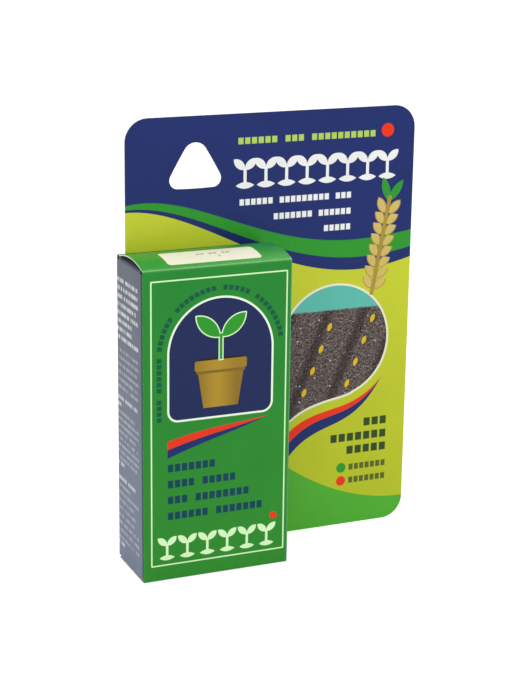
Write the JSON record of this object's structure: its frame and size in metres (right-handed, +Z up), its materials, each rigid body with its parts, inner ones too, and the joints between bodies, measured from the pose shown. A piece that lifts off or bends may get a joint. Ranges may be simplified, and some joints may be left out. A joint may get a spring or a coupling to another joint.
{
  "type": "seed sower retail pack",
  "caption": "Hang card with a glued folding carton, bowed tuck lid and dust flaps, holding a push-rod seed sower with hinged hopper cap and a spare rod.",
  "frame": {"origin": "middle of the whole pack's footprint, on the surface it stands on", "axes": "+Z up, +X to the right across the card as seen from the front, +Y from the carton's front to the card's back"},
  "size_m": [0.1248, 0.0292, 0.173],
  "materials": {
    "carton_board": "printed and varnished folding boxboard, white uncoated inside",
    "card_board": "printed and varnished board, plain grey-white back",
    "adhesive": "hot-melt glue strips, cloudy",
    "amber_plastic": "see-through amber moulding",
    "white_plastic": "satin white moulding",
    "green_plastic": "satin green moulding",
    "red_plastic": "satin red moulding",
    "steel": "drawn wire, bright"
  },
  "bodies": {
    "carton": {"front_panel": "carton_board", "left_panel": "carton_board", "right_panel": "carton_board", "back_panel": "carton_board", "glue_flap": "carton_board", "bottom_outer_flap": "carton_board", "bottom_inner_flap": "carton_board", "bottom_left_dust_flap": "carton_board", "bottom_right_dust_flap": "carton_board", "hang_card": "card_board", "card_adhesive": "adhesive", "hopper_body": "amber_plastic", "cap_hinge_pin": "steel", "guide_collar": "amber_plastic", "outlet_bush": "white_plastic", "return_spring": "steel", "red_metering_rod": "red_plastic"},
    "lid": {"top_lid": "carton_board"},
    "tuck_flap": {"top_tuck_flap": "carton_board"},
    "left_dust_flap": {"top_left_dust_flap": "carton_board"},
    "right_dust_flap": {"top_right_dust_flap": "carton_board"},
    "plunger": {"green_metering_rod": "green_plastic", "rod_clip": "steel", "push_knob": "green_plastic"},
    "cap": {"hopper_cap": "amber_plastic"}
  },
  "joints": [
    {"name": "lid_hinge", "type": "hinge", "parent": "carton", "child": "lid", "pos_m": [0, -0.01402, 0.12217], "axis": [1, 0, 0], "range_deg": [0, 100]},
    {"name": "tuck_hinge", "type": "hinge", "parent": "lid", "child": "tuck_flap", "pos_m": [0, 0.01184, 0.12189], "axis": [-1, 0, 0], "range_deg": [0, 70]},
    {"name": "left_dust_hinge", "type": "hinge", "parent": "carton", "child": "left_dust_flap", "pos_m": [-0.06209, -0.00105, 0.12154], "axis": [0, -1, 0], "range_deg": [0, 50]},
    {"name": "right_dust_hinge", "type": "hinge", "parent": "carton", "child": "right_dust_flap", "pos_m": [-0.00261, -0.00105, 0.12154], "axis": [0, 1, 0], "range_deg": [0, 50]},
    {"name": "cap_hinge", "type": "hinge", "parent": "carton", "child": "cap", "pos_m": [-0.01885, -0.00055, 0.084], "axis": [0, 1, 0], "range_deg": [0, 100]},
    {"name": "press_slide", "type": "slide", "parent": "carton", "child": "plunger", "axis": [0, 0, -1], "range_m": [0, 0.0082], "stiffness_N_per_m": 120, "springref_m": -0.004, "deforming": ["return_spring"]}
  ],
  "couplings": [
    {"joint": "tuck_hinge", "follows": "lid_hinge", "ratio": 0.7},
    {"joint": "left_dust_hinge", "follows": "lid_hinge", "ratio": 0.5},
    {"joint": "right_dust_hinge", "follows": "lid_hinge", "ratio": 0.5}
  ]
}
